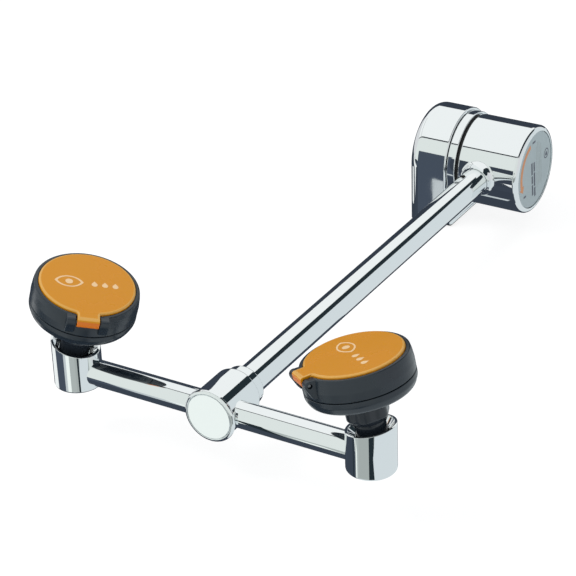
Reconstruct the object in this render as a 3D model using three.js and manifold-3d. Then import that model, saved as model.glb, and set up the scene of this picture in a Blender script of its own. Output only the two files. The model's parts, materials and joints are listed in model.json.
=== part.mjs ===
// Swing-down eyewash: a valve on a deck base carries an arm with two spray heads.
// Millimetres. Origin: centre of the base's underside. +Z up, the lowered arm points along -Y,
// and the valve axis lies along X.
import * as THREE from 'three';
import { mergeVertices } from 'three/addons/utils/BufferGeometryUtils.js';
import Module from 'manifold-3d';

const wasm = await Module();
wasm.setup();

// ---------------------------------------------------------------- driving dimensions
const GAP = 0.3;              // clearance between neighbouring pieces
const FINE = 28;              // facets round the large turned pieces
const MEDIUM = 20;            // facets round tubes, cups and heads
const COARSE = 16;            // facets round small inner pieces

const VALVE_HEIGHT = 35.3;    // valve axis above the deck
const BASE_HALF_WIDTH = 12.4; // along X
const BASE_RADIUS = 29.4;     // round top, and half the depth along Y
const BASE_EDGE = 7;          // rounding of the base's outer end
const FOOT_REACH = 16;        // low foot that runs out under the collar, along X
const FOOT_HALF_DEPTH = 27.4;
const FOOT_HEIGHT = 4;
const FOOT_CORNER = 2;
const INLET_RADIUS = 9.6;     // half-inch pipe thread
const INLET_DEPTH = 14;
const PASSAGE_RADIUS = 4.8;
const FIXING_SPACING = 42;    // tapped holes in the underside
const FIXING_RADIUS = 2.5;
const FIXING_DEPTH = 10;
const GASKET_SIDE = 1;        // rim of casting beside the gasket
const GASKET_ENDS = 3;        // and at its ends
const GASKET_CORNER = 3;
const GASKET_THICKNESS = 1.2;
const SEAT_OUTER = 6.9;       // seal between the passage and the plug
const SEAT_BOTTOM = 20.7;
const SEAT_TOP = 24.7;

const PLUG_RADIUS = 10.1;     // turning valve plug
const PLUG_BORE = 7;
const PLUG_END = -6.4;        // its closed end, along X
const BORE_RADIUS = PLUG_RADIUS + 0.4;
const GROOVE_INNER = 8.9;     // O-ring grooves, along X
const GROOVE_OUTER = 12;
const GROOVE_WIDTH = 2.2;
const GROOVE_FLOOR = 8.4;
const NECK_RADIUS = 21;       // threaded neck of the base
const NECK_FACE = 15.4;
const FLANGE_RADIUS = 17.4;   // plug flange, held by the collar
const FLANGE_START = 16.4;
const FLANGE_END = 17.8;
const COLLAR_RADIUS = 27.8;
const SEAL_RADIUS = 25.6;     // rubber band between the collar and the barrel
const SEAL_WIDTH = 2;
const STOP_RADIUS = 0.9;      // stop pin
const STOP_ORBIT = 16.6;
const SWING = 90;             // degrees from lowered to raised

const BARREL_RADIUS = 26.7;
const BARREL_START = 19.6;    // along X
const BARREL_END = 57.9;
const BARREL_BORE = 21.5;
const BARREL_EDGE = 1.6;      // chamfer of its outer end
const WALL_BORE = 14.8;       // hole of its end wall, round the plug
const WALL_END = 25.6;
const CAP_SEAT = 52.6;
const LABEL_RADIUS = 23.2;
const BOSS_RADIUS = 8.8;      // boss round the arm tube
const BOSS_END = -30.8;       // along Y
const FLARE_WIDTH = 2.4;       // how far the boss spreads at its foot
const FLARE_HEIGHT = 4.6;

const ARM_X = 32.9;           // arm axis, along X
const ARM_LENGTH = 313.2;     // valve axis to crossbar axis
const ARM_RADIUS = 7.94;      // 5/8 inch tube
const ARM_BORE = 6.9;
const SIDE_RADIUS = 6.86;     // crossbar tubes
const SIDE_BORE = 5.9;

const HUB_RADIUS = 13.2;
const HUB_FRONT = -7.1;       // along Y from the crossbar axis
const HUB_BACK = 17;
const HUB_COLLAR_RADIUS = 10.9;
const HUB_COLLAR_BACK = 24.5;
const CAP_RADIUS = 14.2;
const CAP_FRONT = -9.6;
const CAP_SPIGOT = 8.1;

const HEAD_SPACING = 169;     // between the two cup axes
const CUP_RADIUS = 12.45;
const CUP_BOTTOM = -8.4;      // from the crossbar axis
const CUP_RIM = 14.6;         // centre of the sloping mouth
const MOUTH_RADIUS = 11.25;
const SOCKET_RADIUS = 8.1;    // cup bore that takes the spray head's stem
const TILT_IN = { left: 16.5, right: 13.3 };   // degrees, heads lean towards each other
const TILT_BACK = 0.5;        // degrees, heads lean towards the valve
const HEAD_HEIGHT = 37.75;    // cup mouth to the top of the cover
const HINGE_TURN = 53;        // degrees from the crossbar to the hinge, on the front side

const COVER_RADIUS = 24.2;
const COVER_SEAT = 24.6;      // inside of the housing's top edge
const COVER_THICKNESS = 2;
const PIN_RADIUS = 0.9;
const PIN_R = 27.2;           // hinge pin from the head's axis
const PIN_Z = -3.4;           // and from the cover's top
const KNUCKLE = 2.4;
const TAB_HALF = 5.45;        // half width of the cover's tab
const LUG_INNER = 5.8;
const LUG_OUTER = 10.6;
const STEM_RADIUS = 7.6;
const SEAM = -12.4;           // joint between the head's housing and bowl
const BOWL_BOTTOM = -20.6;
const BOWL_FLOOR = -18.2;
const PLATE_TOP = -7.4;       // spray plate
const PLATE_BOTTOM = -9.2;
const NUT_TOP = -20.9;        // lock nut round the stem
const NUT_BOTTOM = -33.9;
const NUT_LOBES = 6;

// ---------------------------------------------------------------- helpers
const X = new THREE.Vector3(1, 0, 0);
const Y = new THREE.Vector3(0, 1, 0);
const Z = new THREE.Vector3(0, 0, 1);
const OUTLINE_YZ = new THREE.Matrix4().makeBasis(Y, Z, X);
const OUTLINE_XZ = new THREE.Matrix4().makeBasis(X, Z, Y.clone().negate());
const radians = THREE.MathUtils.degToRad;

// Turns a closed profile of [radius, height] points about Z, X or Y.
function turned(profile, axis = 'z', segments = MEDIUM) {
  const points = profile.map(([r, h]) => new THREE.Vector2(r, h));
  if (THREE.ShapeUtils.area(points) < 0) points.reverse();
  const onAxis = points[0].x === 0;
  if (!onAxis) points.push(points[0].clone());
  const geometry = new THREE.LatheGeometry(points, segments);
  if (axis === 'z') geometry.rotateX(Math.PI / 2);
  if (axis === 'x') geometry.rotateZ(-Math.PI / 2);
  return geometry;
}

function cylinder(radius, from, to, axis = 'z', segments = MEDIUM) {
  return turned([[0, from], [radius, from], [radius, to], [0, to]], axis, segments);
}

function ring(inner, outer, from, to, axis = 'z', segments = MEDIUM) {
  return turned([[inner, from], [outer, from], [outer, to], [inner, to]], axis, segments);
}

function oRing(middle, section, at, axis = 'z') {
  const sides = 6;
  const profile = [];
  for (let i = 0; i < sides; i += 1) {
    const turn = (2 * Math.PI * i) / sides;
    profile.push([middle + section * Math.cos(turn), at + section * Math.sin(turn)]);
  }
  return turned(profile, axis, COARSE);
}

function extruded(shape, depth, frame = null, curveSegments = 12) {
  const geometry = new THREE.ExtrudeGeometry(shape, { depth, bevelEnabled: false, curveSegments });
  geometry.translate(0, 0, -depth / 2);
  if (frame) geometry.applyMatrix4(frame);
  return geometry;
}

function block(from, to) {
  const size = to.map((value, i) => value - from[i]);
  const geometry = new THREE.BoxGeometry(...size);
  return geometry.translate(...from.map((value, i) => value + size[i] / 2));
}

function solid(geometry) {
  const bare = geometry.clone();
  bare.deleteAttribute('normal');
  bare.deleteAttribute('uv');
  const merged = mergeVertices(bare, 1e-4);
  const index = Array.from(merged.index.array);
  const triangles = [];
  for (let i = 0; i < index.length; i += 3) {
    const [a, b, c] = index.slice(i, i + 3);
    if (a !== b && b !== c && c !== a) triangles.push(a, b, c);
  }
  return new wasm.Manifold(new wasm.Mesh({
    numProp: 3,
    vertProperties: new Float32Array(merged.attributes.position.array),
    triVerts: new Uint32Array(triangles),
  }));
}

function shaped(body) {
  const mesh = body.getMesh();
  const geometry = new THREE.BufferGeometry();
  geometry.setAttribute('position', new THREE.BufferAttribute(mesh.vertProperties, 3));
  geometry.setIndex(new THREE.BufferAttribute(mesh.triVerts, 1));
  geometry.computeVertexNormals();
  return geometry;
}

const join = (first, ...others) => others.reduce((sum, each) => sum.add(solid(each)), first);
const cut = (first, ...others) => others.reduce((rest, each) => rest.subtract(solid(each)), first);

// ---------------------------------------------------------------- materials
const finish = (color, roughness, metalness) => (
  new THREE.MeshStandardMaterial({ color, roughness, metalness })
);
const CHROME = finish(0xdfe3e4, 0.05, 1);
const BRASS = finish(0xb08d4a, 0.35, 1);
const STEEL = finish(0xa7aaad, 0.35, 1);
const LABEL = finish(0xb4bcbd, 0.45, 0.4);
const CHARCOAL = finish(0x34383e, 0.5, 0);
const BLACK_PLASTIC = finish(0x1c1f23, 0.25, 0);
const ORANGE = finish(0xd98a1f, 0.4, 0);
const RUBBER = finish(0x1b1b1b, 0.8, 0);
const WHITE_PLASTIC = finish(0xe6e6e2, 0.5, 0);
const FOAM = finish(0x8f9499, 0.95, 0);

function piece(parent, name, geometry, material) {
  const mesh = new THREE.Mesh(geometry, material);
  mesh.name = name;
  parent.add(mesh);
  return mesh;
}

// ---------------------------------------------------------------- base
// Arch-shaped casting: round over the valve, flat on the deck, its outer end rounded over,
// with a low foot on the collar's side.
function valveBase() {
  const inset = BASE_RADIUS - BASE_EDGE;
  const below = -BASE_EDGE - 6;
  const arch = new THREE.Shape();
  arch.moveTo(-inset, below);
  arch.lineTo(inset, below);
  arch.lineTo(inset, VALVE_HEIGHT);
  arch.absarc(0, VALVE_HEIGHT, inset, 0, Math.PI, false);
  const body = new THREE.ExtrudeGeometry(arch, {
    depth: 2 * BASE_HALF_WIDTH,
    bevelThickness: BASE_EDGE,
    bevelSize: BASE_EDGE,
    bevelSegments: 4,
    curveSegments: 18,
  });
  body.translate(0, 0, BASE_EDGE - BASE_HALF_WIDTH);
  body.applyMatrix4(OUTLINE_YZ);
  const reach = 2 * BASE_RADIUS;
  const trimmed = cut(
    solid(body),
    block([-reach, -reach, -reach], [reach, reach, 0]),
    block([BASE_HALF_WIDTH, -reach, -reach], [2 * reach, reach, 2 * reach]),
  );
  const foot = new THREE.Shape();
  foot.moveTo(0, -FOOT_HALF_DEPTH);
  foot.lineTo(FOOT_REACH - FOOT_CORNER, -FOOT_HALF_DEPTH);
  foot.absarc(FOOT_REACH - FOOT_CORNER, FOOT_CORNER - FOOT_HALF_DEPTH, FOOT_CORNER, -Math.PI / 2, 0, false);
  foot.absarc(FOOT_REACH - FOOT_CORNER, FOOT_HALF_DEPTH - FOOT_CORNER, FOOT_CORNER, 0, Math.PI / 2, false);
  foot.lineTo(0, FOOT_HALF_DEPTH);
  const sole = extruded(foot, FOOT_HEIGHT, null, 4).translate(0, 0, FOOT_HEIGHT / 2);
  const neck = cylinder(NECK_RADIUS, 0, NECK_FACE, 'x').translate(0, 0, VALVE_HEIGHT);
  const bore = cylinder(BORE_RADIUS, PLUG_END - 0.4, NECK_FACE + 1, 'x')
    .translate(0, 0, VALVE_HEIGHT);
  const pinHole = cylinder(STOP_RADIUS + GAP, BASE_HALF_WIDTH + GAP, NECK_FACE + 1, 'x', 12)
    .translate(0, 0, VALVE_HEIGHT + STOP_ORBIT);
  const fixings = [-1, 1].map((side) => (
    cylinder(FIXING_RADIUS, -1, FIXING_DEPTH, 'z', 12).translate(0, (side * FIXING_SPACING) / 2, 0)
  ));
  return cut(
    join(trimmed, neck, sole),
    bore,
    pinHole,
    cylinder(INLET_RADIUS, -1, INLET_DEPTH),
    cylinder(PASSAGE_RADIUS, 0, VALVE_HEIGHT, 'z', COARSE),
    cylinder(SEAT_OUTER + GAP, SEAT_BOTTOM - GAP, VALVE_HEIGHT, 'z', COARSE),
    extruded(gasketOutline(GAP), 2 * (GASKET_THICKNESS + GAP)),
    ...fixings,
  );
}

// Rectangle with cut corners, inside the rim of the underside.
function gasketOutline(grow) {
  const x = BASE_HALF_WIDTH - GASKET_SIDE + grow;
  const y = BASE_RADIUS - GASKET_ENDS + grow;
  const c = GASKET_CORNER;
  const corners = [
    [-x + c, -y], [x - c, -y], [x, -y + c], [x, y - c], [x - c, y], [-x + c, y], [-x, y - c], [-x, -y + c],
  ];
  return new THREE.Shape(corners.map(([u, v]) => new THREE.Vector2(u, v)));
}

function deckGasket() {
  const body = extruded(gasketOutline(0), GASKET_THICKNESS);
  body.translate(0, 0, GASKET_THICKNESS / 2);
  const holes = [-1, 1].map((side) => (
    cylinder(FIXING_RADIUS + 0.5, -1, 3, 'z', 12).translate(0, (side * FIXING_SPACING) / 2, 0)
  ));
  return cut(solid(body), cylinder(INLET_RADIUS + 1, -1, 3), ...holes);
}

function addBase(parent) {
  const base = new THREE.Group();
  parent.add(base);
  piece(base, 'valve_base', shaped(valveBase()), CHROME);
  piece(base, 'deck_gasket', shaped(deckGasket()), RUBBER);
  piece(base, 'seat_seal', ring(PASSAGE_RADIUS, SEAT_OUTER, SEAT_BOTTOM, SEAT_TOP, 'z', COARSE),
    WHITE_PLASTIC);

  const valve = new THREE.Group();
  valve.position.z = VALVE_HEIGHT;
  base.add(valve);
  piece(valve, 'thrust_washer', ring(BORE_RADIUS, 15, NECK_FACE + 0.25, NECK_FACE + 0.75, 'x'),
    WHITE_PLASTIC);
  piece(valve, 'collar_ring', turned([
    [NECK_RADIUS + 0.4, BASE_HALF_WIDTH + GAP],
    [COLLAR_RADIUS - 0.5, BASE_HALF_WIDTH + GAP],
    [COLLAR_RADIUS, BASE_HALF_WIDTH + GAP + 0.5],
    [COLLAR_RADIUS, 17.4],
    [COLLAR_RADIUS - 0.5, 17.9],
    [SEAL_RADIUS - SEAL_WIDTH - 0.1, 17.9],
    [SEAL_RADIUS - SEAL_WIDTH - 0.1, BARREL_START - GAP],
    [14.9, BARREL_START - GAP],
    [14.9, 18.1],
    [NECK_RADIUS + 0.4, 18.1],
  ], 'x', FINE), CHROME);
  const seal = ring(SEAL_RADIUS - SEAL_WIDTH, SEAL_RADIUS, 18, BARREL_START - GAP, 'x', FINE);
  piece(valve, 'collar_seal', seal, RUBBER);
  const pin = piece(valve, 'stop_pin', cylinder(STOP_RADIUS, NECK_FACE - 2.4, 17.6, 'x', 12), STEEL);
  pin.position.z = STOP_ORBIT;
}

// ---------------------------------------------------------------- valve on the arm
function valvePlug() {
  const groove = (from) => [
    [PLUG_RADIUS, from],
    [GROOVE_FLOOR, from],
    [GROOVE_FLOOR, from + GROOVE_WIDTH],
    [PLUG_RADIUS, from + GROOVE_WIDTH],
  ];
  const body = solid(turned([
    [0, PLUG_END],
    [PLUG_RADIUS, PLUG_END],
    ...groove(GROOVE_INNER),
    ...groove(GROOVE_OUTER),
    [PLUG_RADIUS, FLANGE_START],
    [FLANGE_RADIUS, FLANGE_START],
    [FLANGE_RADIUS, FLANGE_END],
    [WALL_BORE - GAP, FLANGE_END],
    [WALL_BORE - GAP, WALL_END - GAP],
    [12, WALL_END - GAP],
    [12, 30],
    [PLUG_BORE, 30],
    [PLUG_BORE, PLUG_END + 3],
    [0, PLUG_END + 3],
  ], 'x'));
  // The notch in the flange runs round the stop pin, which ends the swing at both ends.
  const play = 5;
  const from = radians(90 - play);
  const to = radians(90 + SWING + play);
  const notch = new THREE.Shape();
  notch.absarc(0, 0, FLANGE_RADIUS + 1, from, to, false);
  notch.absarc(0, 0, STOP_ORBIT - STOP_RADIUS - 0.4, to, from, true);
  const sector = extruded(notch, 3, OUTLINE_YZ, 10)
    .translate((FLANGE_START + FLANGE_END) / 2, 0, 0);
  const port = cylinder(PASSAGE_RADIUS - 0.2, -PLUG_RADIUS - 1, 0, 'z', COARSE);
  return cut(body, sector, port);
}

// The barrel, with the filleted boss that the arm tube is brazed into.
function barrel() {
  const body = solid(turned([
    [WALL_BORE, BARREL_START],
    [BARREL_RADIUS - 0.6, BARREL_START],
    [BARREL_RADIUS, BARREL_START + 0.6],
    [BARREL_RADIUS, BARREL_END - BARREL_EDGE],
    [BARREL_RADIUS - BARREL_EDGE, BARREL_END],
    [LABEL_RADIUS + GAP, BARREL_END],
    [LABEL_RADIUS + GAP, CAP_SEAT],
    [BARREL_BORE, CAP_SEAT],
    [BARREL_BORE, WALL_END],
    [WALL_BORE, WALL_END],
  ], 'x', FINE));
  const flare = [];
  const steps = 4;
  for (let i = 0; i <= steps; i += 1) {
    const turn = (Math.PI / 2) * (i / steps);
    flare.push([
      BOSS_RADIUS + FLARE_WIDTH * (1 - Math.cos(turn)),
      BOSS_END + FLARE_HEIGHT * Math.sin(turn),
    ]);
  }
  const boss = turned([
    [0, BOSS_END], ...flare, [BOSS_RADIUS + FLARE_WIDTH, -22.5], [0, -22.5],
  ], 'y').translate(ARM_X, 0, 0);
  const socket = cylinder(ARM_RADIUS + GAP, -40, -15, 'y').translate(ARM_X, 0, 0);
  return cut(join(body, boss), socket, cylinder(BARREL_BORE, WALL_END + 0.4, CAP_SEAT - 2.6, 'x', FINE));
}

function addValve(arm) {
  piece(arm, 'barrel', shaped(barrel()), CHROME);
  piece(arm, 'valve_plug', shaped(valvePlug()), BRASS);
  piece(arm, 'plug_o_ring_inner', oRing(9.4, 0.75, GROOVE_INNER + GROOVE_WIDTH / 2, 'x'), RUBBER);
  piece(arm, 'plug_o_ring_outer', oRing(9.4, 0.75, GROOVE_OUTER + GROOVE_WIDTH / 2, 'x'), RUBBER);
  const nut = new THREE.Shape();
  const flats = 6;
  for (let i = 0; i < flats; i += 1) {
    const turn = (2 * Math.PI * i) / flats;
    nut[i ? 'lineTo' : 'moveTo'](18 * Math.cos(turn), 18 * Math.sin(turn));
  }
  const hexagon = solid(extruded(nut, 3.4, OUTLINE_YZ).translate(27.6, 0, 0));
  piece(arm, 'plug_nut', shaped(cut(hexagon, cylinder(12.3, 20, 40, 'x'))), BRASS);
  piece(arm, 'barrel_cap', turned([
    [0, 49.5], [18.6, 49.5], [18.6, 52.9], [LABEL_RADIUS, 52.9], [LABEL_RADIUS, 56.4], [0, 56.4],
  ], 'x'), BRASS);
  piece(arm, 'cap_o_ring', oRing(20.05, 1, 51.6, 'x'), RUBBER);
  piece(arm, 'label_plate', cylinder(LABEL_RADIUS - 0.2, 56.7, 57.3, 'x', FINE), LABEL);
}

// ---------------------------------------------------------------- arm and crossbar
function teeHub() {
  const body = solid(turned([
    [0, HUB_FRONT],
    [HUB_RADIUS - 0.5, HUB_FRONT],
    [HUB_RADIUS, HUB_FRONT + 0.5],
    [HUB_RADIUS, HUB_BACK - 0.8],
    [HUB_RADIUS - 0.8, HUB_BACK],
    [HUB_COLLAR_RADIUS, HUB_BACK],
    [HUB_COLLAR_RADIUS, HUB_COLLAR_BACK - 0.8],
    [HUB_COLLAR_RADIUS - 0.8, HUB_COLLAR_BACK],
    [0, HUB_COLLAR_BACK],
  ], 'y', MEDIUM));
  return cut(
    body,
    cylinder(CAP_SPIGOT + GAP, HUB_FRONT - 1, HUB_FRONT + 3.5, 'y', MEDIUM),
    cylinder(ARM_BORE, HUB_FRONT, 12, 'y', MEDIUM),
    cylinder(ARM_RADIUS + GAP, 8.2, HUB_COLLAR_BACK + 1, 'y', MEDIUM),
    cylinder(SIDE_RADIUS + GAP, -20, -8.3, 'x', MEDIUM),
    cylinder(SIDE_RADIUS + GAP, 8.3, 20, 'x', MEDIUM),
    cylinder(SIDE_BORE, -12, 12, 'x', COARSE),
  );
}

function teeCap() {
  return turned([
    [0, HUB_FRONT + 3], [CAP_SPIGOT, HUB_FRONT + 3], [CAP_SPIGOT, HUB_FRONT - GAP],
    [CAP_RADIUS - 0.4, HUB_FRONT - GAP],
    [CAP_RADIUS, HUB_FRONT - GAP - 0.4],
    [CAP_RADIUS, CAP_FRONT + 1.2],
    [CAP_RADIUS - 0.5, CAP_FRONT + 0.4],
    [CAP_RADIUS - 1.6, CAP_FRONT],
    [0, CAP_FRONT],
  ], 'y', MEDIUM);
}

// Cup at the end of the crossbar, its mouth cut square to the leaning spray head.
function cup(side, lean) {
  const top = CUP_RIM + 8;
  const outer = solid(turned([
    [0, CUP_BOTTOM], [CUP_RADIUS - 1, CUP_BOTTOM], [CUP_RADIUS, CUP_BOTTOM + 1],
    [CUP_RADIUS, top], [0, top],
  ], 'z', MEDIUM));
  const leaning = (geometry) => geometry.applyQuaternion(lean).translate(0, 0, CUP_RIM);
  const above = leaning(block([-30, -30, 0], [30, 30, 30]));
  const mouth = leaning(turned([
    [0, 1], [MOUTH_RADIUS, 1], [MOUTH_RADIUS, -0.6], [SOCKET_RADIUS, -4], [SOCKET_RADIUS, -11],
    [0, -11],
  ]));
  const chamber = cylinder(6.6, CUP_BOTTOM + 3, 8, 'z', COARSE);
  const span = (from, to) => (side < 0 ? [from, to] : [-to, -from]);
  const socket = cylinder(SIDE_RADIUS + GAP, ...span(8.1, 20), 'x', MEDIUM);
  const port = cylinder(SIDE_BORE, ...span(0, 12), 'x', COARSE);
  return cut(outer, above, mouth, chamber, socket, port);
}

// ---------------------------------------------------------------- spray head
// Drawn about its own axis: z = 0 is the cover's top, and the hinge lies towards +x.
function lug(middle) {
  const shape = new THREE.Shape();
  shape.moveTo(23, -10.5);
  shape.lineTo(26.8, -10.5);
  shape.lineTo(PIN_R + KNUCKLE - 0.15, PIN_Z - 1);
  shape.absarc(PIN_R, PIN_Z, KNUCKLE, radians(-20), radians(110), false);
  shape.lineTo(COVER_SEAT, -1.2);
  shape.lineTo(23, -1.2);
  return extruded(shape, LUG_OUTER - LUG_INNER, OUTLINE_XZ, 7).translate(0, middle, 0);
}

function headHousing() {
  const body = solid(turned([
    [22.6, SEAM],
    [27, SEAM],
    [27.1, -8],
    [26.8, -4.6],
    [26.1, -2.3],
    [25.2, -1.2],
    [COVER_SEAT, -1.2],
    [COVER_SEAT, -2.3],
    [22.6, -2.3],
  ], 'z', FINE));
  const middle = (LUG_INNER + LUG_OUTER) / 2;
  return cut(
    join(body, lug(-middle), lug(middle)),
    cylinder(22.6, SEAM, 0, 'z', FINE),
    cylinder(COVER_SEAT, -2.3, 1, 'z', FINE),
    block([PIN_R - KNUCKLE - GAP, -LUG_INNER, -6.2], [33, LUG_INNER, 1]),
    block([20, -LUG_INNER, -2.3], [33, LUG_INNER, 1]),
    cylinder(PIN_RADIUS + GAP, -15, 15, 'y', 12).translate(PIN_R, 0, PIN_Z),
  );
}

function headBowl() {
  return turned([
    [STEM_RADIUS + GAP, BOWL_BOTTOM],
    [21.4, BOWL_BOTTOM],
    [24.2, -19.7],
    [26.2, -17.9],
    [27, -15.6],
    [27, SEAM - 0.4],
    [22.2, SEAM - 0.4],
    [22.2, PLATE_BOTTOM - GAP],
    [20.6, PLATE_BOTTOM - GAP],
    [20.6, -16.2],
    [18.8, BOWL_FLOOR],
    [STEM_RADIUS + GAP, BOWL_FLOOR],
  ], 'z', MEDIUM);
}

function sprayPlate() {
  const plate = solid(cylinder(22.1, PLATE_BOTTOM, PLATE_TOP));
  const holes = [[0, 1], [7, 6], [14, 12]].flatMap(([orbit, count]) => (
    Array.from({ length: count }, (_, i) => {
      const turn = (2 * Math.PI * i) / count;
      return cylinder(1.1, PLATE_BOTTOM - 1, PLATE_TOP + 1, 'z', 6)
        .translate(orbit * Math.cos(turn), orbit * Math.sin(turn), 0);
    })
  ));
  return cut(plate, ...holes);
}

function adapter() {
  const bottom = -HEAD_HEIGHT - 9.5;
  return turned([
    [4.2, bottom],
    [STEM_RADIUS, bottom],
    [STEM_RADIUS, bottom + 2],
    [6.3, bottom + 2],
    [6.3, bottom + 4],
    [STEM_RADIUS, bottom + 4],
    [STEM_RADIUS, BOWL_FLOOR + GAP],
    [9.6, BOWL_FLOOR + GAP],
    [9.6, -15.9],
    [4.2, -15.9],
  ], 'z', 18);
}

// Grip nut under the head, with six shallow lobes and a rounded lower edge.
function lockNut() {
  const bore = STEM_RADIUS + GAP;
  const points = [];
  const steps = 4 * NUT_LOBES;
  for (let i = 0; i < steps; i += 1) {
    const turn = (2 * Math.PI * i) / steps;
    const radius = 10.35 + 0.45 * Math.cos(NUT_LOBES * turn);
    points.push(new THREE.Vector2(radius * Math.cos(turn), radius * Math.sin(turn)));
  }
  const lobed = extruded(new THREE.Shape(points), NUT_TOP - NUT_BOTTOM + 2)
    .translate(0, 0, (NUT_TOP + NUT_BOTTOM) / 2);
  const rounded = turned([
    [bore, NUT_BOTTOM],
    [8.6, NUT_BOTTOM],
    [10.1, NUT_BOTTOM + 0.9],
    [10.9, NUT_BOTTOM + 2.6],
    [10.9, NUT_TOP],
    [bore, NUT_TOP],
  ]);
  return solid(lobed).intersect(solid(rounded));
}

function cover() {
  const disc = solid(turned([
    [0, -COVER_THICKNESS],
    [20.8, -COVER_THICKNESS],
    [20.8, -4.5],
    [22.2, -4.5],
    [22.2, -COVER_THICKNESS],
    [COVER_RADIUS, -COVER_THICKNESS],
    [COVER_RADIUS, -0.6],
    [COVER_RADIUS - 0.6, 0],
    [0, 0],
  ], 'z', MEDIUM));
  const shape = new THREE.Shape();
  shape.moveTo(22.8, -COVER_THICKNESS);
  shape.lineTo(PIN_R - KNUCKLE, -COVER_THICKNESS);
  shape.absarc(PIN_R, PIN_Z, KNUCKLE, Math.PI, 2 * Math.PI, false);
  shape.lineTo(PIN_R + KNUCKLE, -1.2);
  shape.lineTo(PIN_R + KNUCKLE - 1.2, 0);
  shape.lineTo(22.8, 0);
  const tab = extruded(shape, 2 * TAB_HALF, OUTLINE_XZ, 8);
  const pinHole = cylinder(PIN_RADIUS + GAP, -10, 10, 'y', 12).translate(PIN_R, 0, PIN_Z);
  return cut(join(disc, tab), pinHole);
}

function addHead(parent, name, side) {
  const reach = (side * HEAD_SPACING) / 2;
  const inward = -side * Math.sin(radians(TILT_IN[name]));
  const axis = new THREE.Vector3(inward, Math.sin(radians(TILT_BACK)), 0);
  axis.z = Math.sqrt(1 - axis.lengthSq());
  const lean = new THREE.Quaternion().setFromUnitVectors(Z, axis);

  const tube = ring(SIDE_BORE, SIDE_RADIUS, 8.6, HEAD_SPACING / 2 - 8.4, 'x', MEDIUM);
  if (side < 0) tube.rotateZ(Math.PI);
  piece(parent, `${name}_side_tube`, tube, CHROME);
  piece(parent, `${name}_cup`, shaped(cup(side, lean)), CHROME).position.x = reach;

  const head = new THREE.Group();
  head.position.set(reach, 0, CUP_RIM).addScaledVector(axis, HEAD_HEIGHT);
  head.quaternion.copy(lean);
  head.rotateZ(radians(side < 0 ? -HINGE_TURN : HINGE_TURN - 180));
  parent.add(head);
  piece(head, `${name}_adapter`, adapter(), BLACK_PLASTIC);
  piece(head, `${name}_adapter_o_ring`, oRing(7.2, 0.65, -HEAD_HEIGHT - 6.5), RUBBER);
  piece(head, `${name}_flow_control`, ring(1.2, 3.9, -23.5, -20.5, 'z', COARSE), WHITE_PLASTIC);
  piece(head, `${name}_lock_nut`, shaped(lockNut()), BLACK_PLASTIC);
  piece(head, `${name}_head_bowl`, headBowl(), CHARCOAL);
  piece(head, `${name}_filter_foam`, cylinder(20.2, -15.4, -11.8), FOAM);
  piece(head, `${name}_spray_plate`, shaped(sprayPlate()), CHARCOAL);
  piece(head, `${name}_head_housing`, shaped(headHousing()), CHARCOAL);
  const pin = cylinder(PIN_RADIUS, -LUG_OUTER + 0.1, LUG_OUTER - 0.1, 'y', 12);
  piece(head, `${name}_hinge_pin`, pin.translate(PIN_R, 0, PIN_Z), STEEL);
  piece(head, `${name}_cover`, shaped(cover()), ORANGE);
}

// ---------------------------------------------------------------- assembly
const station = new THREE.Group();
addBase(station);

const arm = new THREE.Group();
arm.position.z = VALVE_HEIGHT;
station.add(arm);
addValve(arm);

const crossbar = new THREE.Group();
crossbar.position.set(ARM_X, -ARM_LENGTH, 0);
arm.add(crossbar);
const tubeEnds = [8.6, ARM_LENGTH - 20.8];
piece(crossbar, 'arm_tube', ring(ARM_BORE, ARM_RADIUS, ...tubeEnds, 'y', MEDIUM), CHROME);
piece(crossbar, 'tee_hub', shaped(teeHub()), CHROME);
piece(crossbar, 'tee_cap', teeCap(), CHROME);
addHead(crossbar, 'left', -1);
addHead(crossbar, 'right', 1);

export default station;
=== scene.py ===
"""The looks of a swing-down eyewash station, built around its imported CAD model.

Lengths in the shape code are millimetres in the CAD model's frame, and become metres when a mesh is made.
Chrome shows little but its surroundings, so the studio's cards and dark gaps are as much of the look as
the surface is. They are seen only in reflections.
"""
import json
import math

import bpy
import bmesh
import numpy as np
from mathutils import Matrix, Vector


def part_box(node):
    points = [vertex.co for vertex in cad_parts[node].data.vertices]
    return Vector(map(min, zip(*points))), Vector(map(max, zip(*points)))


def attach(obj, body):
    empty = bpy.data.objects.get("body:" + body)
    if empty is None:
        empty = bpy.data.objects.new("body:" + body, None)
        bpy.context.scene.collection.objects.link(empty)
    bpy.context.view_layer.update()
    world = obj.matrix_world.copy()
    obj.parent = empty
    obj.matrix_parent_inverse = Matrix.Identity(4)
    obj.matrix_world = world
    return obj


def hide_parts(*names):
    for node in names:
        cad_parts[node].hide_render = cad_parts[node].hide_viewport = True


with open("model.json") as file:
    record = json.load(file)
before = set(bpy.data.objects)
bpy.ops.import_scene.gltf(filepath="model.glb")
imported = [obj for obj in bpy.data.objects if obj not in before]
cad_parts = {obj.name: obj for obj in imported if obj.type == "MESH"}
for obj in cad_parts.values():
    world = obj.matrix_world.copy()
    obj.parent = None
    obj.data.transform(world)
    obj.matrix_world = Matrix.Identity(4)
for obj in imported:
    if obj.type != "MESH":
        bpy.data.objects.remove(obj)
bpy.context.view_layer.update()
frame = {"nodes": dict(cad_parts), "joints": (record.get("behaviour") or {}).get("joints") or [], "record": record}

MM = 0.001
STEPS = 128               # facets round a turned piece
CORNER_STEPS = 5          # facets in a rounded corner
Z = Vector((0, 0, 1))
TO_X = Matrix.Rotation(math.radians(90), 4, "Y")    # turns a shape about Z into one about X
TO_Y = Matrix.Rotation(math.radians(-90), 4, "X")   # and into one about Y


# ---------------------------------------------------------------- places, from the frame
def middle(node):
    low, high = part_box(node)
    return (low + high) / 2 / MM


def joint(name):
    return next(each for each in frame["joints"] if each["name"] == name)


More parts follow.
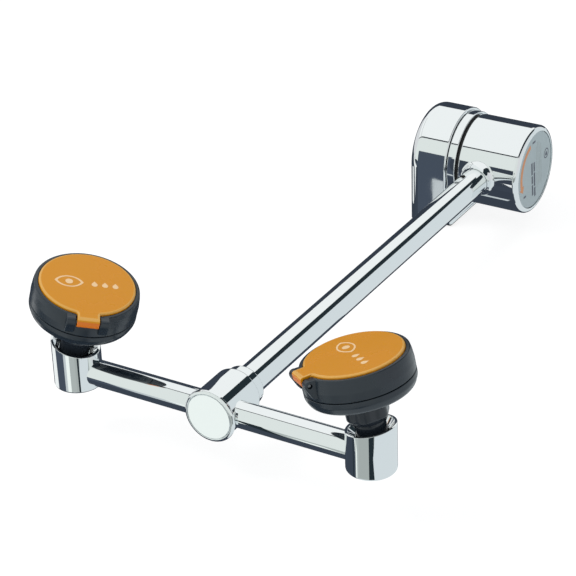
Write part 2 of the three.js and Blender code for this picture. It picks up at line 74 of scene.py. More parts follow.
VALVE = Vector(joint("arm_swing")["pos_m"]) / MM            # a point on the valve's axis
HUB = middle("left_side_tube").lerp(middle("right_side_tube"), 0.5)   # where arm and crossbar meet


def head_frame(side):
    """A spray head's own frame: z = 0 is the cover's top and +x points at the hinge."""
    plate = frame["nodes"][side + "_spray_plate"].data
    points = np.array([vertex.co for vertex in plate.vertices]) / MM
    centre = points.mean(0)
    up = Vector(np.linalg.svd(points - centre, full_matrices=False)[2][2]).normalized()
    up = up if up.z > 0 else -up
    out = Vector(joint(side + "_cover_flip")["pos_m"]) / MM - Vector(centre)
    out = (out - up * out.dot(up)).normalized()
    origin = Vector(centre) - up * (PLATE_TOP + PLATE_BOTTOM) / 2
    rotation = Matrix((out, up.cross(out), up)).transposed().to_4x4()
    return Matrix.Translation(origin) @ rotation


# ---------------------------------------------------------------- camera
CAMERA_AZIMUTH = 31.55
CAMERA_ELEVATION = 28.69
CAMERA_ROLL = -2.14
CAMERA_DISTANCE = 972.0
CAMERA_AIM = HUB + Vector((42.0, 0, 77.2))
CAMERA_LENS = 131.7       # on a 36 mm sensor


def add_camera():
    azimuth, elevation, roll = map(math.radians, (CAMERA_AZIMUTH, CAMERA_ELEVATION, CAMERA_ROLL))
    level = math.cos(elevation)
    back = Vector((math.sin(azimuth) * level, -math.cos(azimuth) * level, math.sin(elevation)))
    right = (-back).cross(Z).normalized()
    up = back.cross(right)
    tilted_right = math.cos(roll) * right + math.sin(roll) * up
    tilted_up = -math.sin(roll) * right + math.cos(roll) * up
    data = bpy.data.cameras.new("camera")
    data.lens = CAMERA_LENS
    data.sensor_width = 36
    data.clip_start = 0.01
    camera = bpy.data.objects.new("camera", data)
    rotation = Matrix((tilted_right, tilted_up, back)).transposed().to_4x4()
    camera.matrix_world = Matrix.Translation((CAMERA_AIM + back * CAMERA_DISTANCE) * MM) @ rotation
    bpy.context.scene.collection.objects.link(camera)
    bpy.context.scene.camera = camera


# ---------------------------------------------------------------- studio
# Each card: name, colour, strength, and its reach along x, y and z in metres, one of them fixed.
WHITE = (0.97, 1.0, 1.0)
PALE = (0.74, 0.79, 0.77)
BRIGHT = (0.92, 0.98, 0.95)
GREY = (0.55, 0.6, 0.62)
MIDDLE_GREY = (0.4, 0.44, 0.43)
NAVY = (0.045, 0.058, 0.08)
BLACK = (0.018, 0.028, 0.034)
CARDS = [
    ("softbox", WHITE, 0.95, (-1.05, 0.205), (-0.434, 0.85), (0.54, 0.54)),
    ("softbox_front_gap", BLACK, 1, (-1.05, 0.205), (-0.478, -0.434), (0.54, 0.54)),
    ("softbox_side_gap", BLACK, 1, (0.205, 0.61), (-0.434, 0.85), (0.54, 0.54)),
    ("softbox_left_gap", BLACK, 1, (-0.56, -0.53), (-0.434, 0.2), (0.539, 0.539)),
    ("front_card", PALE, 1.05, (-0.9, 0.03), (-0.49, -0.49), (-0.045, 0.54)),
    ("front_card_low_dark", NAVY, 1.4, (-0.42, -0.145), (-0.49, -0.49), (-0.15, -0.045)),
    ("front_card_low", GREY, 1, (-0.145, -0.102), (-0.49, -0.49), (-0.112, -0.045)),
    ("front_card_cap_patch", BRIGHT, 1, (-0.102, -0.05), (-0.49, -0.49), (-0.112, -0.045)),
    ("front_card_low_strip", NAVY, 1, (-0.145, -0.05), (-0.49, -0.49), (-0.15, -0.112)),
    ("front_card_low_right", MIDDLE_GREY, 1.1, (-0.05, 0.03), (-0.49, -0.49), (-0.15, -0.045)),
    ("front_card_right", MIDDLE_GREY, 1, (0.03, 0.6), (-0.49, -0.49), (-0.15, 0)),
    ("front_card_right_top", PALE, 1, (0.03, 0.6), (-0.49, -0.49), (0, 0.54)),
    ("right_cup_stripe", BLACK, 1, (0.176, 0.268), (-0.489, -0.489), (-0.15, 0)),
    ("right_cup_stripe_low", BLACK, 1, (0.166, 0.245), (-0.489, -0.458), (-0.0955, -0.0955)),
    ("right_cup_light", BRIGHT, 1, (-0.03, -0.004), (-0.489, -0.489), (-0.15, -0.09)),
    ("left_cup_stripe", BLACK, 1, (0.004, 0.022), (-0.392, -0.392), (-0.06, 0.01)),
    ("base_dark", NAVY, 1.4, (-0.126, -0.085), (-0.25, -0.25), (-0.13, 0.105)),
    ("base_patch", GREY, 1, (-0.108, -0.093), (-0.2495, -0.2495), (-0.108, -0.088)),
    ("barrel_dark", NAVY, 0.9, (-0.085, -0.02), (-0.25, -0.25), (-0.13, 0.092)),
    ("barrel_patch", WHITE, 0.9, (-0.052, -0.038), (-0.2495, -0.2495), (-0.112, -0.07)),
    ("barrel_low_patch", GREY, 1, (-0.075, -0.02), (-0.075, -0.055), (-0.1495, -0.1495)),
    ("front_gap", BLACK, 1, (-0.9, 0.7), (-1.1, -0.49), (-0.15, -0.15)),
    ("under_dark", NAVY, 1, (-0.3, 0.05), (-0.49, -0.19), (-0.15, -0.15)),
    ("under_dark_back", NAVY, 0.9, (-1.2, 0.066), (-0.19, 0.9), (-0.15, -0.15)),
    ("under_left", WHITE, 0.95, (-1.2, -0.3), (-0.406, -0.19), (-0.15, -0.15)),
    ("under_left_dark", NAVY, 1.4, (-1.2, -0.3), (-0.49, -0.406), (-0.15, -0.15)),
    ("under_left_patch", WHITE, 0.9, (-0.4, -0.33), (-0.1, 0.04), (-0.1495, -0.1495)),
    ("under_right", GREY, 1.25, (0.05, 1.3), (-0.49, -0.19), (-0.096, -0.096)),
    ("under_right_back", GREY, 1.25, (0.066, 1.3), (-0.19, 0.9), (-0.096, -0.096)),
    ("under_right_patch", NAVY, 1, (0.04, 0.09), (-0.15, -0.05), (-0.0955, -0.0955)),
    ("under_right_far_patch", NAVY, 1, (0.05, 0.145), (0.19, 0.6), (-0.0955, -0.0955)),
    ("back_dark", NAVY, 0.8, (-2.2, 0.3), (1.3, 1.3), (-0.3, 0.8)),
    ("back_card", GREY, 1.25, (0.3, 2.6), (0.9, 0.9), (-0.15, 0.81)),
]


def emission(name, color, strength):
    material = bpy.data.materials.new(name)
    material.use_nodes = True
    nodes = material.node_tree.nodes
    nodes.clear()
    glow = nodes.new("ShaderNodeEmission")
    glow.inputs["Color"].default_value = (*color, 1)
    glow.inputs["Strength"].default_value = strength
    output = nodes.new("ShaderNodeOutputMaterial")
    material.node_tree.links.new(glow.outputs[0], output.inputs["Surface"])
    return material


def add_card(name, color, strength, xs, ys, zs):
    left, right = xs
    near, far = ys
    low, high = zs
    if near != far:
        corners = [(left, near, low), (right, near, low), (right, far, low), (left, far, low)]
    else:
        corners = [(left, near, low), (right, near, low), (right, near, high), (left, near, high)]
    mesh = bpy.data.meshes.new(name)
    mesh.from_pydata(corners, [], [(0, 1, 2, 3)])
    mesh.materials.append(emission(name, color, strength))
    card = bpy.data.objects.new(name, mesh)
    bpy.context.scene.collection.objects.link(card)
    card.visible_camera = False
    card.visible_diffuse = False
    card.visible_transmission = False
    card.visible_shadow = False


def add_floor():
    """A pale floor, just below the base so that the two never share a plane."""
    mesh = bpy.data.meshes.new("floor")
    half = 6
    corners = [(-half, -half, 0), (half, -half, 0), (half, half, 0), (-half, half, 0)]
    mesh.from_pydata(corners, [], [(0, 1, 2, 3)])
    floor = bpy.data.objects.new("floor", mesh)
    floor.location.z = -0.0004
    bpy.context.scene.collection.objects.link(floor)
    material = bpy.data.materials.new("floor")
    material.use_nodes = True
    shader = material.node_tree.nodes["Principled BSDF"]
    shader.inputs["Base Color"].default_value = (0.2, 0.2, 0.2, 1)
    shader.inputs["Roughness"].default_value = 1
    shader.inputs["Emission Color"].default_value = (1, 1, 1, 1)
    shader.inputs["Emission Strength"].default_value = 0.85
    mesh.materials.append(material)
    floor.visible_glossy = False


def add_light(name, place, target, size, power):
    data = bpy.data.lights.new(name, "AREA")
    data.shape = "DISK"
    data.size = size
    data.energy = power
    light = bpy.data.objects.new(name, data)
    direction = Vector(place) - Vector(target)
    light.matrix_world = Matrix.Translation(place) @ direction.to_track_quat("Z", "Y").to_matrix().to_4x4()
    light.visible_glossy = False
    bpy.context.scene.collection.objects.link(light)


def add_studio():
    scene = bpy.context.scene
    scene.view_settings.view_transform = "Standard"
    world = bpy.data.worlds.new("studio")
    world.use_nodes = True
    background = world.node_tree.nodes["Background"]
    background.inputs["Color"].default_value = (0.96, 0.98, 1.0, 1)
    background.inputs["Strength"].default_value = 0.75
    scene.world = world
    add_floor()
    for card in CARDS:
        add_card(*card)
    add_light("key_light", (-0.7, -0.7, 1.2), HUB * MM, 0.7, 9)


# ---------------------------------------------------------------- materials
def link(material, source, target):
    material.node_tree.links.new(source, target)


def add_node(material, kind, **inputs):
    node = material.node_tree.nodes.new(kind)
    for name, value in inputs.items():
        node.inputs[name.replace("_", " ")].default_value = value
    return node


def noise(material, scale, detail=2.0, stretch=None):
    """Noise in the piece's own space, in metres. stretch draws it out along an axis."""
    place = add_node(material, "ShaderNodeTexCoord")
    texture = add_node(material, "ShaderNodeTexNoise", Scale=scale, Detail=detail)
    source = place.outputs["Object"]
    if stretch:
        mapping = add_node(material, "ShaderNodeMapping", Scale=stretch)
        link(material, source, mapping.inputs["Vector"])
        source = mapping.outputs["Vector"]
    link(material, source, texture.inputs["Vector"])
    return texture.outputs["Fac"]


def spread(material, source, low, high):
    """Maps a 0 to 1 pattern to the range low to high."""
    node = add_node(material, "ShaderNodeMapRange", To_Min=low, To_Max=high)
    node.inputs["From Min"].default_value = 0.3
    node.inputs["From Max"].default_value = 0.7
    link(material, source, node.inputs["Value"])
    return node.outputs["Result"]


def tint(material, source, first, second):
    node = add_node(material, "ShaderNodeMix")
    node.data_type = "RGBA"
    sockets = [each for each in node.inputs if each.type == "RGBA"]
    sockets[0].default_value = (*first, 1)
    sockets[1].default_value = (*second, 1)
    link(material, source, node.inputs["Factor"])
    return next(each for each in node.outputs if each.type == "RGBA")


def bump(material, source, distance):
    node = add_node(material, "ShaderNodeBump", Distance=distance)
    link(material, source, node.inputs["Height"])
    shader = material.node_tree.nodes["Principled BSDF"]
    link(material, node.outputs["Normal"], shader.inputs["Normal"])


def finish(name, color, roughness, metallic=0.0, spread_color=None, **sockets):
    """A Principled material with uneven roughness, and a slightly uneven colour where one is given."""
    material = bpy.data.materials.new(name)
    material.use_nodes = True
    shader = material.node_tree.nodes["Principled BSDF"]
    shader.inputs["Metallic"].default_value = metallic
    shader.inputs["Base Color"].default_value = (*color, 1)
    for socket, value in sockets.items():
        shader.inputs[socket.replace("_", " ")].default_value = value
    uneven = noise(material, 60, 4)
    link(material, spread(material, uneven, *roughness), shader.inputs["Roughness"])
    if spread_color:
        link(material, tint(material, uneven, color, spread_color), shader.inputs["Base Color"])
    return material


def make_materials():
    chrome = finish("chrome", (0.9, 0.92, 0.925), (0.015, 0.05), 1.0)
    bump(chrome, noise(chrome, 300, 2), 0.0000006)
    cast = finish("chrome_cast", (0.9, 0.92, 0.925), (0.015, 0.05), 1.0)
    bump(cast, noise(cast, 28, 1), 0.00004)
    brass = finish("brass", (0.62, 0.42, 0.17), (0.25, 0.45), 1.0, (0.54, 0.36, 0.14))
    bump(brass, noise(brass, 400, 2, (8, 1, 1)), 0.00001)
    steel = finish("steel", (0.2, 0.21, 0.22), (0.3, 0.45), 1.0)
    bump(steel, noise(steel, 900, 2, (1, 1, 6)), 0.000005)
    label = finish("label", (0.4, 0.47, 0.49), (0.3, 0.42), 0.5, (0.45, 0.52, 0.54))
    bump(label, noise(label, 500, 2, (1, 1, 0.02)), 0.000004)
    charcoal = finish("charcoal", (0.011, 0.018, 0.026), (0.2, 0.3), 0.0, (0.014, 0.022, 0.031))
    bump(charcoal, noise(charcoal, 1500, 2), 0.000004)
    black = finish("black_plastic", (0.014, 0.019, 0.026), (0.12, 0.2), 0.0, (0.018, 0.024, 0.032))
    bump(black, noise(black, 700, 2), 0.000003)
    orange = finish("orange_plastic", (0.6, 0.245, 0.002), (0.22, 0.3), 0.0, (0.62, 0.235, 0.002),
                    Specular_IOR_Level=0.3)
    bump(orange, noise(orange, 900, 2), 0.000002)
    # Lighter orange for the cover's bevelled rim: a painted highlight.
    edge = finish("orange_painted_highlight", (0.64, 0.33, 0.05), (0.2, 0.3), 0.0, (0.66, 0.35, 0.07))
    bump(edge, noise(edge, 900, 2), 0.000002)
    # Darker, redder orange for the front of the hinge tab: painted shade.
    knuckle_painted_shade = finish("orange_painted_shade", (0.62, 0.15, 0.002), (0.22, 0.3), 0.0, (0.64, 0.16, 0.002))
    bump(knuckle_painted_shade, noise(knuckle_painted_shade, 900, 2), 0.000002)
    rubber = finish("rubber", (0.012, 0.012, 0.013), (0.6, 0.8), 0.0, (0.02, 0.02, 0.02))
    bump(rubber, noise(rubber, 1500, 3), 0.00003)
    white = finish("white_plastic", (0.72, 0.72, 0.69), (0.35, 0.5), 0.0, (0.78, 0.78, 0.75))
    bump(white, noise(white, 1200, 2), 0.000008)
    foam = finish("foam", (0.2, 0.22, 0.24), (0.9, 1.0), 0.0, (0.32, 0.34, 0.36))
    bump(foam, noise(foam, 1400, 5), 0.0004)
    ink = finish("print_pale", (0.76, 0.5, 0.25), (0.35, 0.45), 0.0, (0.82, 0.58, 0.32))
    dark_ink = finish("print_dark", (0.06, 0.07, 0.1), (0.35, 0.45), 0.0, (0.08, 0.09, 0.12))
    grey_ink = finish("print_grey", (0.3, 0.36, 0.37), (0.35, 0.45), 0.0, (0.36, 0.42, 0.43))
    orange_ink = finish("print_orange", (0.55, 0.22, 0.09), (0.35, 0.45), 0.0, (0.6, 0.26, 0.11))
    return {
        "chrome": chrome, "chrome_cast": cast, "brass": brass, "steel": steel, "label": label,
        "charcoal": charcoal, "black_plastic": black, "orange_plastic": orange, "orange_painted_highlight": edge,
        "orange_painted_shade": knuckle_painted_shade, "rubber": rubber, "white_plastic": white, "foam": foam,
        "print_pale": ink, "print_dark": dark_ink, "print_grey": grey_ink, "print_orange": orange_ink,
    }


# ---------------------------------------------------------------- shape helpers
def rounded(points, closed=True):
    """Rounds the corners of a path of (u, v) or (u, v, radius) points."""
    result = []
    count = len(points)
    for i, point in enumerate(points):
        here = Vector(point[:2])
        radius = point[2] if len(point) > 2 else 0
        if not radius or (not closed and i in (0, count - 1)):
            result.append(here)
            continue
        before = Vector(points[i - 1][:2]) - here
        after = Vector(points[(i + 1) % count][:2]) - here
        half = before.angle(after) / 2
        reach = min(radius / math.tan(half), before.length * 0.49, after.length * 0.49)
        start = here + before.normalized() * reach
        end = here + after.normalized() * reach
        for step in range(CORNER_STEPS + 1):
            t = step / CORNER_STEPS
            flat = (1 - t) ** 2 * start + 2 * t * (1 - t) * here + t * t * end
            result.append(flat)
    return result


def on_circle(centre, radius, degrees):
    turn = math.radians(degrees)
    return centre[0] + radius * math.cos(turn), centre[1] + radius * math.sin(turn)


def arc(centre, radius, start, end, steps=12):
    """Points on an arc, from start to end in degrees."""
    return [on_circle(centre, radius, start + (end - start) * i / steps) for i in range(steps + 1)]


def lathe(profile, steps=STEPS):
    """Turns a closed profile of (radius, height) points about Z."""
    verts, rows = [], []
    for radius, height in profile:
        if radius < 1e-6:
            rows.append([len(verts)] * steps)
            verts.append(Vector((0, 0, height)))
            continue
        rows.append(range(len(verts), len(verts) + steps))
        for i in range(steps):
            turn = 2 * math.pi * i / steps
            verts.append(Vector((radius * math.cos(turn), radius * math.sin(turn), height)))
    faces = []
    for a, b in zip(rows, rows[1:] + rows[:1]):
        if a[0] == a[-1] and b[0] == b[-1]:
            continue
        for i in range(steps):
            j = (i + 1) % steps
            corners = list(dict.fromkeys((a[i], a[j], b[j], b[i])))
            faces.append(tuple(corners))
    return verts, faces


def loft(rings, capped=False):
    """Skins closed rings of equal length. Capped lofts end in flat faces, others close on themselves."""
    count = len(rings[0])
    verts = [Vector(point) for ring in rings for point in ring]
    faces = []
    pairs = len(rings) - 1 if capped else len(rings)
    for k in range(pairs):
        a, b = k * count, ((k + 1) % len(rings)) * count
        for i in range(count):
            j = (i + 1) % count
            faces.append((a + i, a + j, b + j, b + i))
    if capped:
        faces.append(tuple(range(count)))
        faces.append(tuple(range((len(rings) - 1) * count, len(rings) * count)))
    return verts, faces


def prism(outline, low, high):
    """Straight solid over a plan outline."""
    return loft([[(u, v, low) for u, v in outline], [(u, v, high) for u, v in outline]], capped=True)


def side_prism(outline, low, high):
    """Solid over an outline in the XZ plane, from y = low to y = high."""
    return loft([[(u, low, v) for u, v in outline], [(u, high, v) for u, v in outline]], capped=True)


def box_shape(low, high):
    outline = [(low[0], low[1]), (high[0], low[1]), (high[0], high[1]), (low[0], high[1])]
    return prism(outline, low[2], high[2])


def rod(radius, low, high, steps=48):
    return lathe([(0, low), (radius, low), (radius, high), (0, high)], steps)


def moved(shape, matrix):
    verts, faces = shape
    return [matrix @ vert for vert in verts], faces


def at(x=0.0, y=0.0, z=0.0):
    return Matrix.Translation((x, y, z))


def merged(shapes):
    """Several shapes as one."""
    verts, faces = [], []
    for shape_verts, shape_faces in shapes:
        start = len(verts)
        verts += shape_verts
        faces += [tuple(i + start for i in face) for face in shape_faces]
    return verts, faces


def mesh_object(name, shapes, matrix=Matrix.Identity(4)):
    verts, faces = merged(shapes)
    mesh = bpy.data.meshes.new(name)
    mesh.from_pydata([(matrix @ vert) * MM for vert in verts], [], faces)
    clean = bmesh.new()
    clean.from_mesh(mesh)
    bmesh.ops.recalc_face_normals(clean, faces=clean.faces)
    clean.to_mesh(mesh)
    clean.free()
    made = bpy.data.objects.new(name, mesh)
    bpy.context.scene.collection.objects.link(made)
    return made


def bake_modifiers(made):
    depsgraph = bpy.context.evaluated_depsgraph_get()
    mesh = bpy.data.meshes.new_from_object(made.evaluated_get(depsgraph))
    old = made.data
    made.modifiers.clear()
    made.data = mesh
    bpy.data.meshes.remove(old)


def combine(made, shapes, operation, matrix=Matrix.Identity(4)):
    """Joins shapes to a mesh, or cuts them from it, one at a time."""
    for shape in shapes:
        tool = mesh_object("tool", [shape], matrix)
        modifier = made.modifiers.new("combine", "BOOLEAN")
        modifier.operation = operation
        modifier.solver = "EXACT"
        modifier.object = tool
        bake_modifiers(made)
        bpy.data.objects.remove(tool)


def join_bodies(made, other):
    """Joins another object to a piece as one solid, and removes it."""
    modifier = made.modifiers.new("combine", "BOOLEAN")
    modifier.operation = "UNION"
    modifier.solver = "EXACT"
    modifier.object = other
    bake_modifiers(made)
    bpy.data.objects.remove(other)


def edge_bevel(made, width, segments=2, angle=40):
    modifier = made.modifiers.new("edges", "BEVEL")
    modifier.width = width * MM
    modifier.segments = segments
    modifier.limit_method = "ANGLE"
    modifier.angle_limit = math.radians(angle)
    bake_modifiers(made)


def show(made, material, slot, body, *nodes, angle=30):
    """Smooths a finished mesh, gives it its material and lets it stand for its CAD nodes."""
    made.data.materials.clear()
    made.data.materials.append(materials[material])
    for polygon in made.data.polygons:
        polygon.use_smooth = True
    made.data.set_sharp_from_angle(angle=math.radians(angle))
    normals = made.modifiers.new("normals", "WEIGHTED_NORMAL")
    normals.keep_sharp = True
    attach(made, body)
    if nodes:
        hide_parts(*nodes)
    return made


# ---------------------------------------------------------------- base and valve
BASE_HALF_WIDTH = 12.4
BASE_RADIUS = 29.4
BASE_EDGE = 7
FOOT_REACH = 16
FOOT_HALF_DEPTH = 27.4
FOOT_HEIGHT = 4
FOOT_EDGE = 1.3
BASE_INNER_EDGE = 0.8     # of the face that the neck stands on
VALVE_BORE = 10.5
VALVE_BORE_START = -6.8
INLET_RADIUS = 9.6
INLET_DEPTH = 14
PASSAGE_RADIUS = 4.8
SEAT_RADIUS = 7.2
SEAT_BOTTOM = 20.4
RECESS_X = 11.7           # half sizes of the gasket's recess
RECESS_Y = 26.7
RECESS_CORNER = 3
RECESS_DEPTH = 1.5
FIXING_RADIUS = 2.5
FIXING_DEPTH = 10
FIXING_Y = 21
COLLAR_RADIUS = 27.8
COLLAR_START = 12.7
COLLAR_SHOULDER = 17.9
COLLAR_END = 19.3
COLLAR_LIP = 23.5
COLLAR_BORE = 14.9
FLANGE_SEAT = 18.1        # where the collar meets the plug's flange
SEAL_RADIUS = 25.6
NECK_RADIUS = 21
NECK_FACE = 15.4
BARREL_RADIUS = 26.7
BARREL_START = 19.6
BARREL_END = 57.9
BARREL_EDGE = 2.9
LABEL_RADIUS = 23.2
LABEL_FACE = 57.3
LABEL_BACK = 56.7
WALL_BORE = 14.8          # the barrel's end wall, round the valve plug
WALL_END = 25.6
BARREL_BORE = 21.5
CAP_SEAT = 52.6
SOCKET_END = -19          # how deep the arm tube sits in the barrel, along Y
BOSS_RADIUS = 8.8
BOSS_END = -30.8
BOSS_FOOT = 11.2
ARM_RADIUS = 7.94
ARM_BORE = 6.9


def arch(x, inset):
    """The base's outline at one depth: flat on the deck, round over the valve."""
    half = BASE_RADIUS - inset
    points = [(x, half, 0), (x, half, VALVE.z * 0.5)]
    points += [(x, half * math.cos(t), VALVE.z + half * math.sin(t))
               for t in (math.pi * i / 72 for i in range(73))]
    points += [(x, -half, VALVE.z * 0.5), (x, -half, 0)]
    return points


def valve_base():
    rings = []
    for i in range(13):
        t = math.pi / 2 * i / 12
        rings.append(arch(-BASE_HALF_WIDTH + BASE_EDGE * (1 - math.cos(t)), BASE_EDGE * (1 - math.sin(t))))
    for i in range(5):
        t = math.pi / 2 * i / 4
        depth = BASE_INNER_EDGE * (1 - math.sin(t))
        rings.append(arch(BASE_HALF_WIDTH - depth, BASE_INNER_EDGE * (1 - math.cos(t))))
    made = mesh_object("base_casting", [loft(rings, capped=True)])
    foot_outline = [
        (5, -FOOT_HALF_DEPTH), (FOOT_REACH, -FOOT_HALF_DEPTH, 2), (FOOT_REACH, FOOT_HALF_DEPTH, 2),
        (5, FOOT_HALF_DEPTH),
    ]
    sole = mesh_object("sole", [prism(rounded(foot_outline), 0, FOOT_HEIGHT)])
    edge_bevel(sole, FOOT_EDGE, 3, 60)
    join_bodies(made, sole)
    on_valve = at(z=VALVE.z) @ TO_X
    combine(made, [rod(NECK_RADIUS, 5, NECK_FACE, 96)], "UNION", on_valve)
    combine(made, [rod(VALVE_BORE, VALVE_BORE_START, NECK_FACE + 1)], "DIFFERENCE", on_valve)
    inlet = rod(INLET_RADIUS, -1, INLET_DEPTH, 64)
    passage = rod(PASSAGE_RADIUS, 0, VALVE.z)
    seat = rod(SEAT_RADIUS, SEAT_BOTTOM, VALVE.z)
    u, v = RECESS_X - RECESS_CORNER, RECESS_Y - RECESS_CORNER
    recess = prism([
        (-u, -RECESS_Y), (u, -RECESS_Y), (RECESS_X, -v), (RECESS_X, v),
        (u, RECESS_Y), (-u, RECESS_Y), (-RECESS_X, v), (-RECESS_X, -v),
    ], -1, RECESS_DEPTH)
    fixings = [moved(rod(FIXING_RADIUS, -1, FIXING_DEPTH, 32), at(y=y)) for y in (-FIXING_Y, FIXING_Y)]
    combine(made, [recess, inlet, passage, seat, *fixings], "DIFFERENCE")
    show(made, "chrome_cast", "chrome", "base", "valve_base")
    # The foot's lowest band on its +x side takes the dark rubber finish: painted shade along the foot's bottom
    # edge.
    made.data.materials.append(materials["rubber"])
    for polygon in made.data.polygons:
        if polygon.center.z < FOOT_EDGE * MM and polygon.center.x > BASE_HALF_WIDTH * MM:
            polygon.material_index = 1


def collar_ring():
    profile = rounded([
        (NECK_RADIUS + 0.4, COLLAR_START), (COLLAR_RADIUS, COLLAR_START, 0.6),
        (COLLAR_RADIUS, COLLAR_SHOULDER, 0.6), (COLLAR_LIP, COLLAR_SHOULDER), (COLLAR_LIP, COLLAR_END),
        (COLLAR_BORE, COLLAR_END), (COLLAR_BORE, FLANGE_SEAT), (NECK_RADIUS + 0.4, FLANGE_SEAT),
    ])
    made = mesh_object("union_collar", [lathe(profile)], at(z=VALVE.z) @ TO_X)
    show(made, "chrome", "chrome", "base", "collar_ring")
    bore, start = COLLAR_LIP + 0.1, COLLAR_SHOULDER + 0.1
    band_profile = rounded([
        (bore, start), (SEAL_RADIUS, start, 0.2), (SEAL_RADIUS, COLLAR_END, 0.2), (bore, COLLAR_END),
    ])
    made = mesh_object("seal_band", [lathe(band_profile)], at(z=VALVE.z) @ TO_X)
    show(made, "rubber", "rubber", "base", "collar_seal")


def boss_ring(share):
    """One ring of the flare from the arm boss onto the barrel, from its end (0) to its foot (1)."""
    points = []
    for i in range(STEPS):
        turn = 2 * math.pi * i / STEPS
        across = math.sin(turn)
        foot_z = BOSS_FOOT * across
        foot_y = -math.sqrt(BARREL_RADIUS ** 2 - foot_z ** 2)
        slope = BOSS_FOOT * across ** 2 / -foot_y
        drop = BOSS_FOOT - BOSS_RADIUS
        start, end = Vector((BOSS_RADIUS, BOSS_END)), Vector((BOSS_FOOT, foot_y))
        handle = 0.62 * (foot_y - BOSS_END)
        first = start + Vector((0, handle))
        second = end - Vector((1, slope)) * drop * 0.6
        rest = 1 - share
        spot = (rest ** 3 * start + 3 * share * rest ** 2 * first
                + 3 * share ** 2 * rest * second + share ** 3 * end)
        points.append((spot.x * math.cos(turn), spot.y, spot.x * across))
    return points


def circle_ring(radius, y):
    turns = (2 * math.pi * i / STEPS for i in range(STEPS))
    return [(radius * math.cos(turn), y, radius * math.sin(turn)) for turn in turns]


def barrel():
    profile = rounded([
        (WALL_BORE, BARREL_START), (BARREL_RADIUS, BARREL_START, 0.7),
        *arc((BARREL_RADIUS - BARREL_EDGE, BARREL_END - BARREL_EDGE), BARREL_EDGE, 0, 90, 12),
        (LABEL_RADIUS + 0.3, BARREL_END, 0.4), (LABEL_RADIUS + 0.3, CAP_SEAT), (BARREL_BORE, CAP_SEAT),
        (BARREL_BORE, WALL_END), (WALL_BORE, WALL_END),
    ])
    bore = ARM_RADIUS + 0.1
    flare = [circle_ring(bore, SOCKET_END), circle_ring(bore, BOSS_END + 0.2)]
    flare += [circle_ring(bore + 0.2, BOSS_END)]
    flare += [boss_ring(i / 24) for i in range(25)]
    flare += [circle_ring(BOSS_FOOT - 0.8, SOCKET_END)]
    shapes = [moved(lathe(profile, 192), TO_X), moved(loft(flare), at(x=HUB.x))]
    made = mesh_object("barrel_shell", shapes, at(z=VALVE.z))
    show(made, "chrome_cast", "chrome", "arm", "barrel")


# ---------------------------------------------------------------- printed marks
PRINT = 0.06              # thickness of a printed mark
ARROW_OUTER = 19.6        # the curved arrow on the barrel's label
ARROW_INNER = 16.9
ARROW_START = 110         # degrees
ARROW_END = 197
ARROW_TIP = 210


def band(outer, inner, low, high):
    """Closed solid between two closed outlines of equal length."""
    levels = ((outer, low), (outer, high), (inner, high), (inner, low))
    return loft([[(u, v, z) for u, v in outline] for outline, z in levels])


def bar(u, v, length, width, low, high):
    return prism([(u - width / 2, v - length / 2), (u + width / 2, v - length / 2),
                  (u + width / 2, v + length / 2), (u - width / 2, v + length / 2)], low, high)


def drop_outline(u, v, size):
    """A water drop, point up."""
    return [(u, v + 1.7 * size)] + arc((u, v), size, 150, 390, 20)


def eye_outline(half_width, half_height):
    radius = (half_width ** 2 + half_height ** 2) / (2 * half_height)
    reach = math.degrees(math.asin(half_width / radius))
    upper = arc((0, half_height - radius), radius, 90 + reach, 90 - reach, 24)
    lower = arc((0, radius - half_height), radius, -90 + reach, -90 - reach, 24)
    return upper + lower[1:-1]


def words(u, start, lengths, width, low, high):
    """A column of bars that stands for a line of print. It runs down from start."""
    shapes = []
    for length in lengths:
        shapes.append(bar(u, start - length / 2, length, width, low, high))
        start -= length + 1
    return shapes


def label_plate():
    profile = rounded([
        (0, LABEL_BACK), (LABEL_RADIUS + 0.1, LABEL_BACK), (LABEL_RADIUS + 0.1, LABEL_FACE, 0.2),
        (0, LABEL_FACE),
    ])
    made = mesh_object("label_disc", [lathe(profile)], at(z=VALVE.z) @ TO_X)
    show(made, "label", "label", "arm", "label_plate")
    # On the label, u runs along +Y and v upwards.
    upright = Matrix(((0, 0, 1, 0), (1, 0, 0, 0), (0, 1, 0, 0), (0, 0, 0, 1)))
    place = at(z=VALVE.z) @ upright
    turned = place @ Matrix.Rotation(math.radians(6), 4, "Z")
    low, high = LABEL_FACE - 0.02, LABEL_FACE + PRINT
    ribbon = arc((0, 0), ARROW_OUTER, ARROW_START, ARROW_END, 30)
    ribbon += arc((0, 0), ARROW_INNER, ARROW_END, ARROW_START, 30)
    head = [
        on_circle((0, 0), ARROW_OUTER + 1.6, ARROW_END), on_circle((0, 0), ARROW_INNER - 1.6, ARROW_END),
        on_circle((0, 0), 18.2, ARROW_TIP),
    ]
    dark = words(-3.4, 6, (8, 5, 7), 1.7, low, high) + words(-0.3, 5, (6, 9, 6), 1.7, low, high)
    grey = words(3.2, 14, (9, 7, 10), 0.8, low, high) + words(5.2, 16, (12, 6, 9), 0.8, low, high)
    grey += words(7.2, 15, (7, 11, 8), 0.8, low, high) + words(9.2, 13, (10, 8, 6), 0.8, low, high)
    ring = band(arc((16.4, 4), 3.2, 0, 345, 23), arc((16.4, 4), 2.6, 0, 345, 23), low, high)
    marks = {
        "label_arrow": ("print_orange", place, [prism(ribbon, low, high), prism(head, low, high)]),
        "label_bars": ("print_dark", turned, dark),
        "label_rows": ("print_grey", turned, grey),
        "label_drop": ("print_dark", place, [
            ring, prism(drop_outline(16.4, 3.5, 1.2), low, high), bar(-1.6, 18.4, 1.2, 4, low, high),
            bar(-13, -12.6, 1.2, 3.4, low, high),
        ]),
    }
    for name, (ink, spot, shapes) in marks.items():
        show(mesh_object(name, shapes, spot), ink, "label", "arm")


